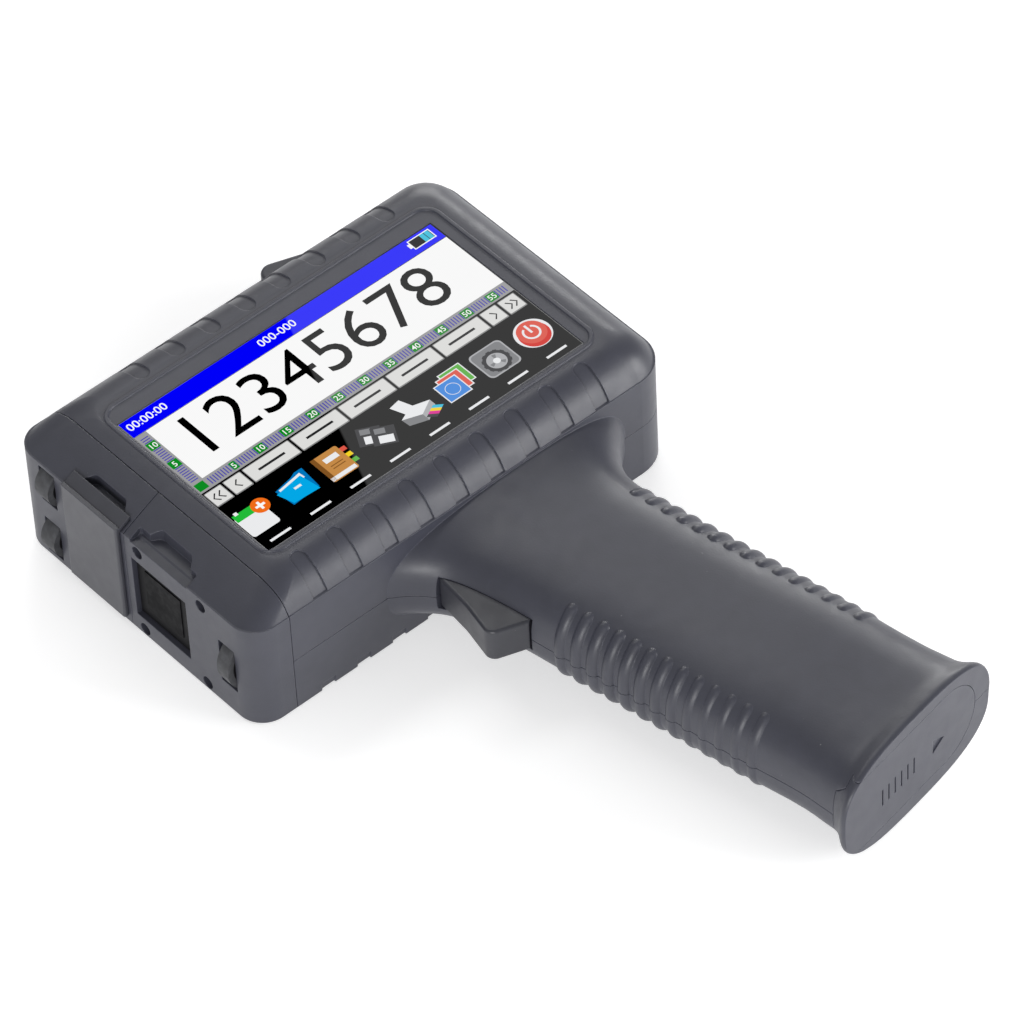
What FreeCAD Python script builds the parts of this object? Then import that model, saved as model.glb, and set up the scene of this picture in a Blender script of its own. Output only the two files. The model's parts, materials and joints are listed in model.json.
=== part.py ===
"""Hand-held date-code inkjet printer lying on its back, screen up.

Frame: +Z is up, out of the screen.  +X runs to the right along the screen and the print
end faces -X.  The pistol grip runs towards -Y, raked towards +X.  The origin lies on the
back face, under the middle of the display.  Millimetres.

Pieces of the grip are drawn in the grip's own frame, which is turned by the rake about Z:
local x runs across the grip and local -y runs down it, towards the butt.
"""
import FreeCAD, Part
import math
import os
import Sketcher

from FreeCAD import Vector

doc = FreeCAD.newDocument("date_code_printer")

# ----------------------------------------------------------------------------------------
# Driving dimensions
# ----------------------------------------------------------------------------------------
SIZES = (
    # head
    ("head_left", -64.5, "print end face"),
    ("head_right", 63.5, "end wall with the sockets"),
    ("head_near", -40.4, "side wall that the grip grows from"),
    ("head_far", 46.0, "side wall with the cartridge door"),
    ("head_top", 38.5, "top face round the screen"),
    ("shoulder_edge", 31.2, "height of the line where the side walls turn into the crown"),
    ("left_corner", 7.0, "corner radius in plan, print end"),
    ("right_corner", 10.0, "corner radius in plan, socket end"),
    ("wall_gauge", 2.4, "wall of both shells"),
    ("parting", 16.1, "height of the line between the shells, and of the grip's axis"),
    ("seam", 0.2, "open gap along every seam"),
    ("cap_seam", -53.3, "plane between the end caps and the shells"),
    ("cap_split", 5.4, "plane between the two end caps"),
    ("cap_front", 3.0, "front wall of the end caps"),
    # screen
    ("screen_length", 95.0, "display's active length"),
    ("screen_width", 53.9, "display's active width"),
    ("glass_top", 38.3, "upper face of the cover glass"),
    ("glass_gauge", 0.7, "cover glass"),
    ("lcd_gauge", 3.5, "display module"),
    ("board_top", 32.2, "upper face of the main board"),
    ("board_gauge", 1.6, "main board"),
    # grip
    ("rake", 10.0, "angle of the grip from the head's side wall normal, degrees"),
    ("grip_middle", 1.8, "grip's axis, across the grip"),
    ("butt", 161.3, "end of the grip, down the grip from the origin"),
    ("rib_radius", 1.9, "grip ribs"),
    ("rib_pitch", 4.55, "grip ribs"),
    # print end
    ("window_near", -16.3, "print window, edge towards the grip"),
    ("window_far", 3.2, "print window, far edge"),
    ("window_low", 5.9, "print window, lower edge"),
    ("window_high", 25.1, "print window, upper edge"),
    ("guide_y", -10.7, "middle of the four guide holes"),
    ("guide_z", 15.5, "middle of the four guide holes"),
    ("guide_pitch_y", 22.6, "guide holes"),
    ("guide_pitch_z", 26.0, "guide holes"),
    ("guide_radius", 1.7, "guide holes"),
    ("guide_depth", 6.0, "guide holes"),
    ("small_roller", 5.8, "radius of the two plain rollers"),
    ("large_roller", 8.5, "radius of the encoder roller"),
    ("roller_proud", 2.0, "how far every roller stands out of the print end"),
    ("axle_radius", 1.0, "roller axles"),
    ("running_gap", 0.05, "radial clearance on an axle or hinge pin"),
    # moving parts of the grip and the far wall
    ("trigger_low", 12.4, "lower face of the trigger"),
    ("trigger_high", 22.0, "upper face of the trigger"),
    ("trigger_pivot_across", -18.5, "trigger pivot, across the grip"),
    ("trigger_pivot_down", 47.5, "trigger pivot, down the grip"),
    ("trigger_pin", 1.5, "radius of the trigger pin"),
    ("door_left", -48.6, "hinge line of the cartridge door"),
    ("door_right", 12.75, "free edge of the cartridge door"),
    ("door_low", 4.25, "lower edge of the cartridge door"),
    ("door_high", 28.75, "upper edge of the cartridge door"),
    ("latch_x", 40.0, "latch pivot"),
    ("latch_y", 43.2, "latch pivot"),
    ("latch_low", 13.5, "lower face of the latch"),
    ("latch_high", 24.5, "upper face of the latch"),
    # power and ink
    ("cell_radius", 9.2, "18650 cell"),
    ("cell_length", 65.0, "18650 cell"),
    ("cell_start", 90.8, "end of the cells that faces the head, down the grip"),
    ("cartridge_low", 4.2, "underside of the ink cartridge"),
    ("cartridge_high", 28.2, "top of the ink cartridge"),
)

sheet = doc.addObject("Spreadsheet::Sheet", "Sizes")
for row, (alias, value, meaning) in enumerate(SIZES, start=1):
    sheet.set("A%d" % row, meaning)
    sheet.set("B%d" % row, str(value))
    sheet.setAlias("B%d" % row, alias)
doc.recompute()

# The same cells, read back for the shapes that are worked out in code.
size = {alias: float(sheet.get(alias)) for alias, value, meaning in SIZES}

PARTING = size["parting"]
WALL = size["wall_gauge"]
SEAM = size["seam"]
GAP = size["running_gap"]
Z_AXIS = Vector(0, 0, 1)
GRIP_FRAME = FreeCAD.Placement(Vector(0, 0, 0), FreeCAD.Rotation(Z_AXIS, size["rake"]))

nodes = []


# ----------------------------------------------------------------------------------------
# Helpers: parametric objects bound to the sheet
# ----------------------------------------------------------------------------------------
def bind(obj, expressions):
    """Bind properties to expressions.  Plain numbers are allowed too."""
    for prop, expression in expressions.items():
        obj.setExpression(prop, str(expression))
    return obj


def box(name, x, y, z):
    """Part::Box from three (start, end) pairs of expressions."""
    obj = doc.addObject("Part::Box", name)
    spans = {"Length": x, "Width": y, "Height": z}
    for prop, (start, end) in spans.items():
        obj.setExpression(prop, "(%s) - (%s)" % (end, start))
    return bind(obj, {"Placement.Base.x": x[0], "Placement.Base.y": y[0],
                      "Placement.Base.z": z[0]})


def rod(name, radius, length, base, axis=Z_AXIS):
    """Part::Cylinder of a radius and length expression, from base along axis."""
    obj = doc.addObject("Part::Cylinder", name)
    obj.Placement = FreeCAD.Placement(Vector(0, 0, 0), FreeCAD.Rotation(Z_AXIS, axis))
    return bind(obj, {"Radius": radius, "Height": length, "Placement.Base.x": base[0],
                      "Placement.Base.y": base[1], "Placement.Base.z": base[2]})


def joined(name, pieces):
    """Part::MultiFuse of the pieces."""
    obj = doc.addObject("Part::MultiFuse", name)
    obj.Shapes = pieces
    return obj


def cut(name, base, tool):
    """Part::Cut."""
    obj = doc.addObject("Part::Cut", name)
    obj.Base = base
    obj.Tool = tool
    return obj


def group(name, pieces):
    """Part::Compound: identical separate solids in one node."""
    obj = doc.addObject("Part::Compound", name)
    obj.Links = pieces
    return obj


def origin_plane(body, role):
    """One of the body's own origin planes."""
    return next(item for item in body.Origin.OriginFeatures if item.Role == role)


def sketched_body(name, role, offset, draw):
    """PartDesign::Body with one sketch on an origin plane; draw(sketch) fills it."""
    body = doc.addObject("PartDesign::Body", name)
    sketch = body.newObject("Sketcher::SketchObject", name + "_sketch")
    sketch.AttachmentSupport = [(origin_plane(body, role), "")]
    sketch.MapMode = "FlatFace"
    sketch.setExpression("AttachmentOffset.Base.z", str(offset))
    draw(sketch)
    return body, sketch


def padded(name, role, offset, length, draw):
    """Body padded from a sketch; offset and length are expressions."""
    body, sketch = sketched_body(name, role, offset, draw)
    pad = body.newObject("PartDesign::Pad", name + "_pad")
    pad.Profile = sketch
    pad.setExpression("Length", str(length))
    body.Tip = pad
    return body


def closed_path(sketch, pieces):
    """Add segments to a sketch: two points make a line, three make an arc through them."""
    for points in pieces:
        corners = [Vector(x, y, 0) for x, y in points]
        if len(corners) == 2:
            sketch.addGeometry(Part.LineSegment(*corners), False)
        else:
            sketch.addGeometry(Part.Arc(*corners), False)


def ring_sketch(radius_outer, radius_inner):
    """Draw function for two concentric circles whose radii are expressions."""
    def draw(sketch):
        for index, radius in enumerate((radius_outer, radius_inner)):
            circle = Part.Circle(Vector(0, 0, 0), Z_AXIS, 2 - index)
            sketch.addGeometry(circle, False)
            sketch.addConstraint(Sketcher.Constraint("Coincident", index, 3, -1, 1))
            number = sketch.addConstraint(Sketcher.Constraint("Radius", index, 2 - index))
            sketch.setExpression("Constraints[%d]" % number, str(radius))
    return draw


def shaped(name, shape):
    """Part::Feature for a shape made with Part's own functions."""
    obj = doc.addObject("Part::Feature", name)
    obj.Shape = shape
    return obj


def node(obj, label, in_grip=False):
    """Register an object as a sub-part: its label names its file."""
    obj.Label = label
    if in_grip:
        obj.Placement = GRIP_FRAME.multiply(obj.Placement)
    nodes.append(obj)
    return obj


# ----------------------------------------------------------------------------------------
# Helpers: plain shapes for the moulded housing
# ----------------------------------------------------------------------------------------
def block(x, y, z):
    """Solid box from three (start, end) pairs of numbers."""
    return Part.makeBox(x[1] - x[0], y[1] - y[0], z[1] - z[0], Vector(x[0], y[0], z[0]))


def post(x, y, z, radius):
    """Upright cylinder at x, y between the heights z[0] and z[1]."""
    return Part.makeCylinder(radius, z[1] - z[0], Vector(x, y, z[0]))


def in_grip(shape):
    """The shape, moved from the grip's frame to the printer's."""
    placed = shape.copy()
    placed.Placement = GRIP_FRAME.multiply(placed.Placement)
    return placed


def rounded_rectangle(x, y, radii, z):
    """Closed wire at height z; radii run from the near left corner, counterclockwise."""
    corners = ((x[0], y[0], 1, 1), (x[1], y[0], -1, 1), (x[1], y[1], -1, -1), (x[0], y[1], 1, -1))
    arcs = []
    for (cx, cy, sx, sy), radius in zip(corners, radii):
        inset = radius * (1 - math.sqrt(0.5))
        beside = Vector(cx, cy + sy * radius, z)
        middle = Vector(cx + sx * inset, cy + sy * inset, z)
        below = Vector(cx + sx * radius, cy, z)
        turn = (beside, middle, below) if sx * sy > 0 else (below, middle, beside)
        arcs.append(Part.Arc(*turn).toShape())
    edges = []
    for index, arc in enumerate(arcs):
        following = arcs[(index + 1) % 4]
        edges.append(arc)
        edges.append(Part.LineSegment(arc.Vertexes[-1].Point, following.Vertexes[0].Point).toShape())
    return Part.Wire(edges)


# Each side of the crown: where it starts on the top face, where it ends above the wall, and
# the power of its curve: 0.38 is a round shoulder, 0.9 a nearly flat slope.
CROWN_SIDES = {
    "left": (-49.6, size["head_left"] + 0.3, 0.9),
    "right": (51.6, size["head_right"] - 0.3, 0.38),
    "near": (-29.6, size["head_near"] + 0.3, 0.38),
    "far": (34.4, size["head_far"] - 0.3, 0.38),
}
CROWN_STEPS = (1.0, 0.66, 0.36, 0.14, 0.0)
CROWN_TOP_CORNER = 5.0
LEFT_RADIUS = size["left_corner"]
RIGHT_RADIUS = size["right_corner"]


def crown_reach(side, fraction):
    """Place of the crown's surface where it has dropped by this fraction of its height."""
    start, end, power = CROWN_SIDES[side]
    return start + (end - start) * fraction ** power


def head_solid(inset):
    """The head's outer form, moved inwards by inset on every side."""
    radii = [max(radius - inset, 1.0) for radius in (LEFT_RADIUS, RIGHT_RADIUS, RIGHT_RADIUS, LEFT_RADIUS)]
    x = (size["head_left"] + inset, size["head_right"] - inset)
    y = (size["head_near"] + inset, size["head_far"] - inset)
    base = rounded_rectangle(x, y, radii, inset)
    walls = Part.Face(base).extrude(Vector(0, 0, size["shoulder_edge"] - 2 * inset))
    low_edges = [edge for edge in walls.Edges if edge.BoundBox.ZMax < inset + 0.01]
    walls = walls.makeFillet(0.7, low_edges)
    drop = size["head_top"] - size["shoulder_edge"]
    sections = []
    for fraction in CROWN_STEPS:
        span_x = (crown_reach("left", fraction) + inset, crown_reach("right", fraction) - inset)
        span_y = (crown_reach("near", fraction) + inset, crown_reach("far", fraction) - inset)
        corner = [CROWN_TOP_CORNER + (radius - CROWN_TOP_CORNER) * fraction - 0.6 * max(inset, 0)
                  for radius in (LEFT_RADIUS, RIGHT_RADIUS, RIGHT_RADIUS, LEFT_RADIUS)]
        height = size["head_top"] - drop * fraction - inset
        sections.append(rounded_rectangle(span_x, span_y, corner, height))
    return walls.fuse(Part.makeLoft(sections, True, False))


# Stations down the grip: distance, the two edges across the grip, then the depth above and
# below the parting line.  The grip flares into the head, and again at its butt.
GRIP_STATIONS = (
    (30.0, -37.0, 51.0, 14.5, 14.5), (36.0, -31.2, 49.5, 14.5, 14.5),
    (41.0, -26.8, 47.0, 14.5, 14.4), (46.0, -24.2, 43.0, 14.5, 14.2),
    (51.0, -23.0, 35.5, 14.5, 13.8), (57.0, -22.3, 28.8, 14.5, 13.3),
    (64.0, -22.0, 26.2, 14.5, 12.8), (76.0, -22.0, 25.6, 14.5, 12.6),
    (108.0, -22.0, 25.6, 14.5, 12.6), (138.0, -22.0, 25.6, 14.5, 12.6),
    (148.0, -22.0, 25.6, 14.5, 12.8), (153.5, -22.5, 26.0, 14.6, 13.2),
    (158.0, -24.1, 27.3, 15.1, 14.1), (160.2, -25.9, 28.5, 15.6, 15.0),
    (161.3, -25.7, 28.3, 15.3, 14.7),
)
RIB_SECTION = (-22.0, 25.6, 14.5, 12.6)
SQUARENESS = 2.9
SECTION_POINTS = 24


def grip_point(section, inset, down, angle):
    """Point of the grip's superelliptic section at an angle from its +x side."""
    low, high, above, under = section
    power = 2 / SQUARENESS
    cosine = math.cos(angle)
    sine = math.sin(angle)
    across = (high - low) / 2 - inset
    deep = (above if sine > 0 else under) - inset
    x = (low + high) / 2 + across * math.copysign(abs(cosine) ** power, cosine)
    z = PARTING + deep * math.copysign(abs(sine) ** power, sine)
    return Vector(x, -down, z)


def grip_solid(inset, end=size["butt"]):
    """The grip's outer form moved inwards by inset, in the grip's frame, down to end."""
    sections = []
    for down, *section in GRIP_STATIONS:
        points = [grip_point(section, inset, down, 2 * math.pi * step / SECTION_POINTS)
                  for step in range(SECTION_POINTS)]
        curve = Part.BSplineCurve()
        curve.interpolate(Points=points, PeriodicFlag=True)
        sections.append(Part.Wire(curve.toShape()))
    whole = Part.makeLoft(sections, True, False)
    if end < size["butt"]:
        whole = whole.cut(block((-60, 60), (-size["butt"] - 1, -end), (-10, 50)))
    return whole


def rib(down, first, last):
    """One rounded rib round the grip at a station, between two angles in degrees."""
    radius = size["rib_radius"]
    steps = 8
    points = []
    for step in range(steps + 1):
        angle = math.radians(first + (last - first) * step / steps)
        points.append(grip_point(RIB_SECTION, RIB_INSET, down, angle))
    curve = Part.BSplineCurve()
    curve.interpolate(Points=points)
    path = Part.Wire(curve.toShape())
    start = curve.tangent(curve.FirstParameter)[0]
    profile = Part.Wire(Part.Circle(points[0], start, radius).toShape())
    tube = path.makePipeShell([profile], True, True)
    ends = [Part.makeSphere(radius, point) for point in (points[0], points[-1])]
    return tube.fuse(ends)


RIB_INSET = 1.15
TRIGGER_SIDE_RIBS = (77.8, 13, 137.0, 230.0)
PALM_SIDE_RIBS = (68.0, 15, -50.0, 50.0)


def all_ribs():
    """Every rib of the grip, in the grip's frame."""
    ribs = []
    for start, count, first, last in (TRIGGER_SIDE_RIBS, PALM_SIDE_RIBS):
        for index in range(count):
            ribs.append(rib(start + size["rib_pitch"] * index, first, last))
    return ribs


# ----------------------------------------------------------------------------------------
# Housing: two shells and two end caps cut from one outer form
# ----------------------------------------------------------------------------------------
FAR_OUT = 200.0
GROOVE_PITCH = 10.7
GROOVE_COUNT = 9
GROOVE_FIRST = -43.8
GROOVE_HALF = 2.1
GROOVE_DEPTH = 0.3
RECESS_DEPTH = 1.1
HOLLOW_DEPTH = 3.2
BEZEL_LINE = ((-49.4, 51.9), (-29.0, 33.1), 5.0)
BEZEL_WIDTH = 1.1
BEZEL_PROUD = 0.4
DISPLAY_SPAN = ((-49.9, 50.7), (-29.7, 32.1))
GLASS_MARGIN = 0.3
HEAD_SCREWS = ((-44.0, -33.5), (54.0, -32.0), (54.0, 38.0), (22.0, 40.0))
GRIP_SCREW = (1.8, 81.5)
SCREW_SEAT = 8.0
BOARD_SCREWS = ((-38.0, -31.6), (38.0, -31.6), (-38.0, 34.2), (38.0, 34.2))
JACK = (20.0, 25.2, 3.3)
USB = (4.5, 28.8, 5.2, 1.9)
TRIGGER_SLOT = (44.2, 69.7)
LID_END = (11.6, 16.9, 11.3)
LID_FLANGE = 155.7
LID_SEAT = 158.4
LID_SIDE = -21.5


def groove_cutters():
    """Shallow U-shaped grooves across both long shoulders and under both long edges."""
    skin = head_solid(-0.5).cut(head_solid(GROOVE_DEPTH))
    top = (size["shoulder_edge"] + 0.05, 45)
    base = (-3, 2.6)
    grooves = []
    for index in range(GROOVE_COUNT):
        x = GROOVE_FIRST + GROOVE_PITCH * index
        width = (x - GROOVE_HALF, x + GROOVE_HALF)
        for edge, shoulder in ((size["head_near"], -33.1), (size["head_far"], 36.4)):
            outer = edge + math.copysign(3, edge)
            for height, inner in ((top, shoulder), (base, edge - math.copysign(4.5, edge))):
                strip = block(width, (min(inner, outer), max(inner, outer)), height)
                grooves.append(skin.common(strip.fuse(post(x, inner, height, GROOVE_HALF))))
    return grooves


def bezel_ridge():
    """Thin raised line round the screen."""
    x, y, radius = BEZEL_LINE
    outer = Part.Face(rounded_rectangle(x, y, [radius] * 4, 38.0))
    ridge = outer.extrude(Vector(0, 0, size["head_top"] + BEZEL_PROUD - 38.0))
    inner_x = (x[0] + BEZEL_WIDTH, x[1] - BEZEL_WIDTH)
    inner_y = (y[0] + BEZEL_WIDTH, y[1] - BEZEL_WIDTH)
    inner = Part.Face(rounded_rectangle(inner_x, inner_y, [radius - BEZEL_WIDTH] * 4, 37.0))
    ridge = ridge.cut(inner.extrude(Vector(0, 0, 5)))
    top_edges = [edge for edge in ridge.Edges if edge.BoundBox.ZMin > size["head_top"] + 0.3]
    return ridge.makeFillet(0.3, top_edges)


def screen_cutters():
    """Opening over the display and the pocket that holds glass and display."""
    half_x = size["screen_length"] / 2 + GLASS_MARGIN
    half_y = size["screen_width"] / 2 + GLASS_MARGIN
    opening = Part.Face(rounded_rectangle((-half_x, half_x), (-half_y, half_y), [0.3] * 4, 37.0))
    pocket_top = size["glass_top"] - size["glass_gauge"] - 0.05
    pocket = block(DISPLAY_SPAN[0], DISPLAY_SPAN[1], (30, pocket_top))
    return [opening.extrude(Vector(0, 0, 5)), pocket]


def lid_profile(start, end, slack):
    """Sliding lid's outline as a solid down the grip from start to end, in the grip's frame."""
    x, z, radius = LID_END
    radius = radius - slack
    straight = block((-40, x), (-end, -start), (z - radius, z + radius))
    nose = Part.makeCylinder(radius, end - start, Vector(x, -end, z), Vector(0, 1, 0))
    return straight.fuse(nose)


def grip_cutters():
    """Trigger slot, battery mouth and lid recess, in the grip's frame."""
    trigger_slot = block((-60, -14), (-TRIGGER_SLOT[1], -TRIGGER_SLOT[0]),
                         (size["trigger_low"] - 0.2, size["trigger_high"] + 0.2))
    mouth = block((-19.6, 21), (-LID_SEAT - 0.1, -155.9), (7.4, 24.6))
    slide_way = block((-60, -19.5), (-LID_SEAT - 0.1, -155.9), (11.5, 20.6))
    recess = lid_profile(LID_SEAT, size["butt"] + 1, 0.0)
    side = block((-60, LID_SIDE), (-size["butt"] - 1, -LID_FLANGE), (5.6, 28.2))
    return [trigger_slot, mouth, slide_way, recess, side]


def side_cutters():
    """Door opening and latch slot in the far wall, socket holes in the end wall."""
    door = block((-50.0, 13.0), (40, 50), (4.0, 29.0))
    latch = block((36.0, 46.0), (40, 50), (size["latch_low"] - 0.3, size["latch_high"] + 0.3))
    jack_y, jack_z, jack_radius = JACK
    jack = Part.makeCylinder(jack_radius, 10, Vector(58, jack_y, jack_z), Vector(1, 0, 0))
    usb_y, usb_z, usb_half, usb_high = USB
    usb = block((58, 68), (usb_y - usb_half, usb_y + usb_half), (usb_z - usb_high, usb_z + usb_high))
    return [door, latch, jack, usb]


def trigger_pivot():
    """Trigger pivot in the printer's frame."""
    point = Vector(size["trigger_pivot_across"], -size["trigger_pivot_down"], 0)
    return GRIP_FRAME.multVec(point)


def grip_to_printer(across, down):
    """Place in the printer's frame of a point given across and down the grip."""
    point = GRIP_FRAME.multVec(Vector(across, -down, 0))
    return point.x, point.y


def outer_form():
    """Head, grip and ribs as one solid."""
    grip = grip_solid(0)
    for one in all_ribs():
        grip = grip.fuse(one)
    return head_solid(0).fuse(in_grip(grip))


def screw_places():
    """All housing screws in the printer's frame."""
    return HEAD_SCREWS + (grip_to_printer(*GRIP_SCREW),)


def bottom_additions(limit):
    """Bosses and posts that stand in the bottom shell."""
    bosses = [post(x, y, (0.2, PARTING), 3.4) for x, y in screw_places()]
    pivot = trigger_pivot()
    bosses.append(post(pivot.x, pivot.y, (1.0, size["trigger_low"] - 0.3), 3.0))
    latch_x = size["latch_x"]
    bosses.append(block((latch_x - 4, latch_x + 4), (39.6, 45.0), (7.0, size["latch_low"] - 0.3)))
    return Part.makeCompound(bosses).common(limit)


def top_additions(limit):
    """Bosses, posts and standoffs that hang in the top shell."""
    bosses = [post(x, y, (PARTING, 38), 3.2) for x, y in screw_places()]
    bosses += [post(x, y, (size["board_top"], 38), 2.0) for x, y in BOARD_SCREWS]
    pivot = trigger_pivot()
    bosses.append(post(pivot.x, pivot.y, (size["trigger_high"] + 0.3, 38), 3.0))
    latch_x = size["latch_x"]
    bosses.append(block((latch_x - 4, latch_x + 4), (39.6, 45.0), (size["latch_high"] + 0.3, 31.0)))
    return Part.makeCompound(bosses).common(limit)


def bottom_holes():
    """Screw, pin and hinge holes in the bottom shell."""
    holes = []
    for x, y in screw_places():
        holes.append(post(x, y, (-1, SCREW_SEAT), 2.5))
        holes.append(post(x, y, (0, PARTING + 1), 1.3))
    return holes + pin_holes()


def top_holes():
    """Screw, pin and hinge holes in the top shell."""
    holes = [post(x, y, (PARTING - 1, 25), 1.0) for x, y in screw_places()]
    holes += [post(x, y, (size["board_top"] - 1, 35.2), 0.8) for x, y in BOARD_SCREWS]
    return holes + pin_holes()


def pin_holes():
    """Holes for the trigger, latch and door pins."""
    pivot = trigger_pivot()
    return [
        post(pivot.x, pivot.y, (8.0, 24.3), size["trigger_pin"] + 0.02),
        post(size["latch_x"], size["latch_y"], (9, 28), 1.22),
        post(size["door_left"], 44.85, (2.6, 30.4), 0.62),
    ]


def cover_recess(y):
    """Seat on the end slope for the nozzle cover's lip, with the openings for its hook and a nail."""
    seat_block = block((-66, -61.1), y, (30.6, 45))
    inner = [edge for edge in seat_block.Edges if edge.BoundBox.XMin > -61.2 and edge.BoundBox.ZLength > 5]
    seat = head_solid(-1.5).cut(head_solid(RECESS_DEPTH)).common(seat_block.makeFillet(0.5, inner))
    slot = block((-62.8, -61.0), (y[0] + 0.6, y[1] - 0.6), (30.9, 45))
    corners = [(-61.3, y[0] + 2.2), (-58.7, y[0] + 4.4), (-58.7, y[1] - 5.2), (-61.3, y[1] - 3.2)]
    outline = [Vector(x, along, 30.9) for x, along in corners + corners[:1]]
    hollow = Part.Face(Part.makePolygon(outline)).extrude(Vector(0, 0, 14))
    crest = [edge for edge in hollow.Edges if edge.BoundBox.XMin > -59 and edge.BoundBox.ZLength > 5]
    hollow = hollow.makeFillet(1.6, crest)
    hollow = head_solid(-1.5).cut(head_solid(HOLLOW_DEPTH)).common(hollow)
    return [seat, slot, hollow]


def roller_cutters(x, z, y, radius, half_window):
    """Window in the front wall and room for one roller."""
    window = block((-70, x + 2), y, (z - half_window, z + half_window))
    room = Part.makeCylinder(radius + 0.45, y[1] - y[0], Vector(x, y[0], z), Vector(0, 1, 0))
    return [window, room]


SMALL_X = size["head_left"] - size["roller_proud"] + size["small_roller"]
LARGE_X = size["head_left"] - size["roller_proud"] + size["large_roller"]
# name, x, z, window in y, radius, half height of the window
ROLLERS = (
    ("upper", SMALL_X, 24.6, (30.7, 36.4), size["small_roller"], 5.6),
    ("lower", SMALL_X, 7.4, (30.7, 36.4), size["small_roller"], 5.6),
    ("encoder", LARGE_X, 15.2, (-33.3, -27.6), size["large_roller"], 6.8),
)


def roller_ears(limit):
    """Upright ribs beside the windows that carry the axles, and their axle holes."""
    ears = []
    holes = []
    for name, x, z, y, radius, half_window in ROLLERS:
        for start in (y[0] - 2.0, y[1] + 0.4):
            ears.append(block((-62, -54.6), (start, start + 1.6), (z - 4, z + 4)))
        holes.append(Part.makeCylinder(size["axle_radius"] + 0.01, y[1] - y[0] + 4.2,
                                       Vector(x, y[0] - 2.1, z), Vector(0, 1, 0)))
    return Part.makeCompound(ears).common(limit), holes


def make_housing():
    """The four moulded housing parts."""
    form = outer_form()
    hollow = head_solid(WALL).fuse(in_grip(grip_solid(WALL, 155.9)))
    behind_caps = block((size["cap_seam"] + SEAM / 2, FAR_OUT), (-FAR_OUT, FAR_OUT), (-5, 60))
    shell = form.cut(hollow).fuse(bezel_ridge()).common(behind_caps)
    cutters = screen_cutters() + side_cutters() + groove_cutters()
    shell = shell.cut(cutters + [in_grip(cutter) for cutter in grip_cutters()])
    inside = head_solid(1.0).fuse(in_grip(grip_solid(1.0, 155.0)))
    door_room = block((-50.0, 13.0), (40, 50), (4.0, 29.0))

    above = block((-FAR_OUT, FAR_OUT), (-FAR_OUT, FAR_OUT), (PARTING + SEAM / 2, 60))
    below = block((-FAR_OUT, FAR_OUT), (-FAR_OUT, FAR_OUT), (-5, PARTING - SEAM / 2))
    top = shell.common(above).fuse(top_additions(inside)).cut(top_holes() + [door_room])
    bottom = shell.common(below).fuse(bottom_additions(inside)).cut(bottom_holes() + [door_room])
    node(shaped("TopShell", top), "top_shell")
    node(shaped("BottomShell", bottom), "bottom_shell")

    ahead = block((-FAR_OUT, size["cap_seam"] - SEAM / 2), (-FAR_OUT, FAR_OUT), (-5, 60))
    front = block((-70, size["head_left"] + size["cap_front"]), (-60, 60), (0, 45))
    cap_hollow = head_solid(WALL).cut(front)
    tongue = head_solid(WALL + 0.15).cut(head_solid(WALL + 1.5))
    tongue = tongue.common(block((-55.5, -50.3), (-60, 60), (0, 60)))
    tongue_root = head_solid(WALL - 0.3).cut(head_solid(WALL + 1.3))
    tongue_root = tongue_root.common(block((-56.5, -53.6), (-60, 60), (0, 60)))
    ears, axle_holes = roller_ears(head_solid(1.0))
    bosses = []
    holes = list(axle_holes)
    for side_y in (-0.5, 0.5):
        for side_z in (-0.5, 0.5):
            y = size["guide_y"] + side_y * size["guide_pitch_y"]
            z = size["guide_z"] + side_z * size["guide_pitch_z"]
            start = Vector(-62.0, y, z)
            bosses.append(Part.makeCylinder(3.0, 5.0, start, Vector(1, 0, 0)).common(head_solid(0.8)))
            mouth = Vector(size["head_left"] - 1, y, z)
            holes.append(Part.makeCylinder(size["guide_radius"], size["guide_depth"] + 1, mouth,
                                           Vector(1, 0, 0)))
    caps = head_solid(0).cut(cap_hollow).common(ahead)
    caps = caps.fuse([tongue, tongue_root, ears] + bosses)
    for name, x, z, y, radius, half_window in ROLLERS:
        caps = caps.cut(roller_cutters(x, z, y, radius, half_window))
    window = block((-70, -50), (size["window_near"], size["window_far"]),
                   (size["window_low"], size["window_high"]))
    caps = caps.cut(holes + cover_recess((-17.4, 3.0)) + cover_recess((6.3, 26.9)) + [window])
    split = size["cap_split"]
    near = caps.common(block((-70, 0), (-60, split - SEAM / 2), (-5, 60)))
    far = caps.common(block((-70, 0), (split + SEAM / 2, 60), (-5, 60)))
    node(shaped("NearEndCap", near), "near_end_cap")
    node(shaped("FarEndCap", far), "far_end_cap")


make_housing()


# ----------------------------------------------------------------------------------------
# Screen and electronics in the head
# ----------------------------------------------------------------------------------------
def make_screen():
    """Cover glass, display module and the foam strips between module and board."""
    edge = GLASS_MARGIN - 0.12
    half_x = "(Sizes.screen_length / 2 + %g)" % edge
    half_y = "(Sizes.screen_width / 2 + %g)" % edge
    glass_low = "Sizes.glass_top - Sizes.glass_gauge"
    glass = box("Glass", ("-" + half_x, half_x), ("-" + half_y, half_y), (glass_low, "Sizes.glass_top"))
    node(glass, "screen_glass")
    lcd_low = glass_low + " - 0.1 - Sizes.lcd_gauge"
    (x0, x1), (y0, y1) = DISPLAY_SPAN
    node(box("Display", (x0 + 0.4, x1 - 0.4), (y0 + 0.4, y1 - 0.4), (lcd_low, glass_low + " - 0.1")),
         "lcd_panel")
    strips = [box("Foam%d" % index, (start, start + 6), (-24, 26), ("Sizes.board_top", lcd_low))
              for index, start in enumerate((-34, -3, 28))]
    node(group("FoamStrips", strips), "display_foam")


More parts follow.
